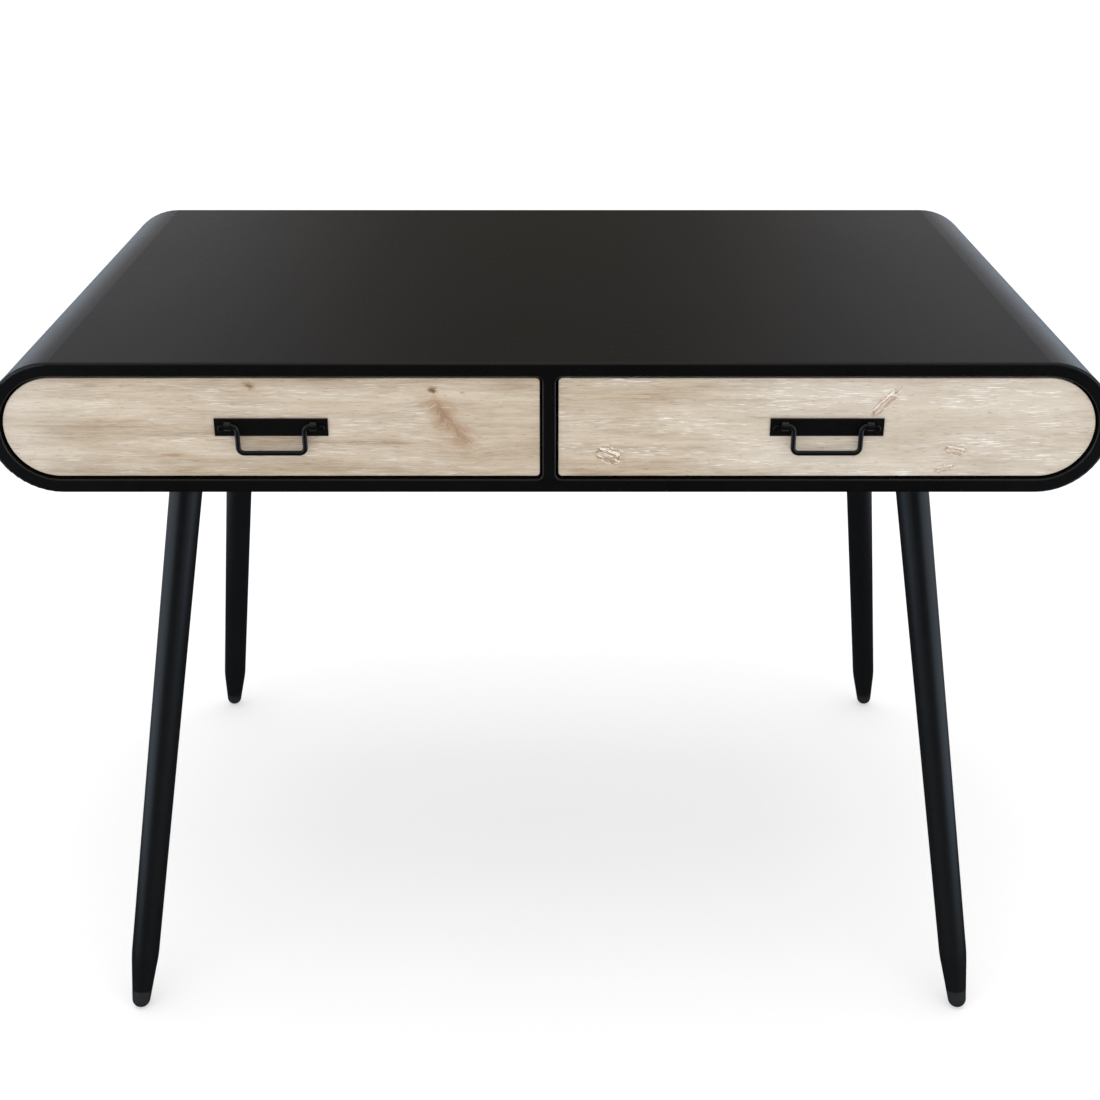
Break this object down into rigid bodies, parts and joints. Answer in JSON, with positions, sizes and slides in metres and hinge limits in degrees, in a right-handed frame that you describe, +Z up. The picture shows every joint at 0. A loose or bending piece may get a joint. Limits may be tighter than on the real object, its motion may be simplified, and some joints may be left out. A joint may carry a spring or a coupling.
{
  "type": "writing desk with drawers",
  "caption": "Writing desk: a steel-skinned case with rounded ends, pale wooden drawer fronts with bail pulls, and splayed tapered legs.",
  "frame": {"origin": "on the floor under the middle of the desk", "axes": "+X along the desk to the sitter's right, -Y to the front where the drawers open, +Z up"},
  "size_m": [1.1, 0.667, 0.76],
  "materials": {
    "black_steel": "satin black powder coat",
    "limed_wood": "limed softwood, matte",
    "handle_iron": "satin black",
    "drawer_wood": "clear matte lacquer",
    "drawer_ply": "sanded plywood",
    "case_board": "raw fibreboard",
    "back_board": "painted hardboard",
    "zinc_steel": "bright zinc plate",
    "black_screw": "black oxide",
    "foot_plastic": "moulded matte"
  },
  "bodies": {
    "case": {"back_panel": "back_board", "back_panel_screws": "black_screw", "bottom_board": "case_board", "cabinet_rail_screws": "zinc_steel", "centre_panel": "case_board", "front_frame": "black_steel", "front_left_glide": "foot_plastic", "front_left_leg": "black_steel", "front_left_leg_plate": "black_steel", "front_right_glide": "foot_plastic", "front_right_leg": "black_steel", "front_right_leg_plate": "black_steel", "left_inner_cabinet_rail": "zinc_steel", "left_outer_cabinet_rail": "zinc_steel", "left_side_panel": "case_board", "leg_plate_screws": "black_screw", "outer_skin": "black_steel", "rear_frame": "black_steel", "rear_left_glide": "foot_plastic", "rear_left_leg": "black_steel", "rear_left_leg_plate": "black_steel", "rear_right_glide": "foot_plastic", "rear_right_leg": "black_steel", "rear_right_leg_plate": "black_steel", "right_inner_cabinet_rail": "zinc_steel", "right_outer_cabinet_rail": "zinc_steel", "right_side_panel": "case_board", "top_board": "case_board"},
    "left_drawer": {"left_drawer_bottom": "drawer_ply", "left_drawer_box_back": "drawer_wood", "left_drawer_box_front": "drawer_wood", "left_drawer_box_inner_side": "drawer_wood", "left_drawer_box_outer_side": "drawer_wood", "left_drawer_front": "limed_wood", "left_drawer_rail_screws": "zinc_steel", "left_front_screws": "zinc_steel", "left_handle_plate": "handle_iron", "left_handle_screws": "handle_iron", "left_inner_drawer_rail": "zinc_steel", "left_outer_drawer_rail": "zinc_steel"},
    "right_drawer": {"right_drawer_bottom": "drawer_ply", "right_drawer_box_back": "drawer_wood", "right_drawer_box_front": "drawer_wood", "right_drawer_box_inner_side": "drawer_wood", "right_drawer_box_outer_side": "drawer_wood", "right_drawer_front": "limed_wood", "right_drawer_rail_screws": "zinc_steel", "right_front_screws": "zinc_steel", "right_handle_plate": "handle_iron", "right_handle_screws": "handle_iron", "right_inner_drawer_rail": "zinc_steel", "right_outer_drawer_rail": "zinc_steel"},
    "left_bail_body": {"left_bail": "handle_iron"},
    "right_bail_body": {"right_bail": "handle_iron"},
    "left_inner_cage": {"left_inner_ball_cage": "zinc_steel"},
    "left_outer_cage": {"left_outer_ball_cage": "zinc_steel"},
    "right_inner_cage": {"right_inner_ball_cage": "zinc_steel"},
    "right_outer_cage": {"right_outer_ball_cage": "zinc_steel"}
  },
  "joints": [
    {"name": "left_drawer_slide", "type": "slide", "parent": "case", "child": "left_drawer", "axis": [0, -1, 0], "range_m": [0, 0.35]},
    {"name": "left_bail_hinge", "type": "hinge", "parent": "left_drawer", "child": "left_bail_body", "pos_m": [-0.27125, -0.3019, 0.6955], "axis": [-1, 0, 0], "range_deg": [-4, 184]},
    {"name": "left_inner_cage_slide", "type": "slide", "parent": "case", "child": "left_inner_cage", "axis": [0, -1, 0], "range_m": [0, 0.175]},
    {"name": "left_outer_cage_slide", "type": "slide", "parent": "case", "child": "left_outer_cage", "axis": [0, -1, 0], "range_m": [0, 0.175]},
    {"name": "right_drawer_slide", "type": "slide", "parent": "case", "child": "right_drawer", "axis": [0, -1, 0], "range_m": [0, 0.35]},
    {"name": "right_bail_hinge", "type": "hinge", "parent": "right_drawer", "child": "right_bail_body", "pos_m": [0.27125, -0.3019, 0.6955], "axis": [-1, 0, 0], "range_deg": [-4, 184]},
    {"name": "right_inner_cage_slide", "type": "slide", "parent": "case", "child": "right_inner_cage", "axis": [0, -1, 0], "range_m": [0, 0.175]},
    {"name": "right_outer_cage_slide", "type": "slide", "parent": "case", "child": "right_outer_cage", "axis": [0, -1, 0], "range_m": [0, 0.175]}
  ],
  "couplings": [
    {"joint": "left_inner_cage_slide", "follows": "left_drawer_slide", "ratio": 0.5},
    {"joint": "left_outer_cage_slide", "follows": "left_drawer_slide", "ratio": 0.5},
    {"joint": "right_inner_cage_slide", "follows": "right_drawer_slide", "ratio": 0.5},
    {"joint": "right_outer_cage_slide", "follows": "right_drawer_slide", "ratio": 0.5}
  ]
}
